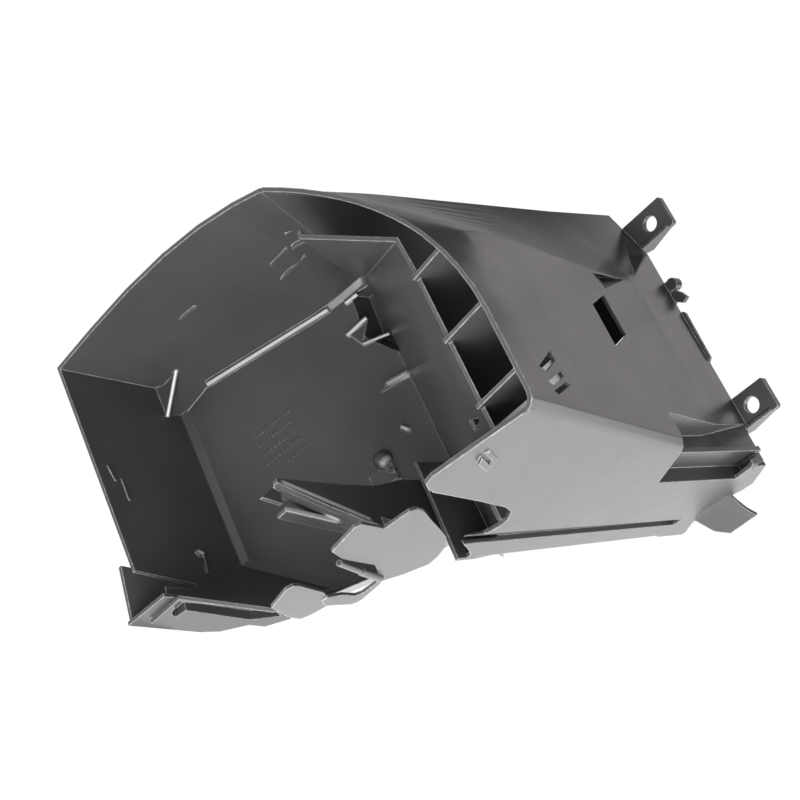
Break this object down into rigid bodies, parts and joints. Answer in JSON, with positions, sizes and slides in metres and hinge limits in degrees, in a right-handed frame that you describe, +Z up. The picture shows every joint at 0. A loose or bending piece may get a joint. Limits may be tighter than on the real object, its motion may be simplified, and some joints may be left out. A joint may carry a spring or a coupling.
{
  "type": "moulded duct and bin housing",
  "caption": "Black injection moulded plastic housing: an open bin with a ramped air duct above it, clip plates along one side and screw tabs at the rear.",
  "frame": {"origin": "middle of the bore of the front screw tab, half way through the tab", "axes": "+X from the mouth to the rear edge, +Y towards the back wall, +Z up with the bin lying on its side wall"},
  "size_m": [0.2503, 0.1817, 0.233],
  "materials": {
    "moulding": "satin moulded"
  },
  "bodies": {
    "root": {"housing": "moulding"}
  },
  "joints": []
}
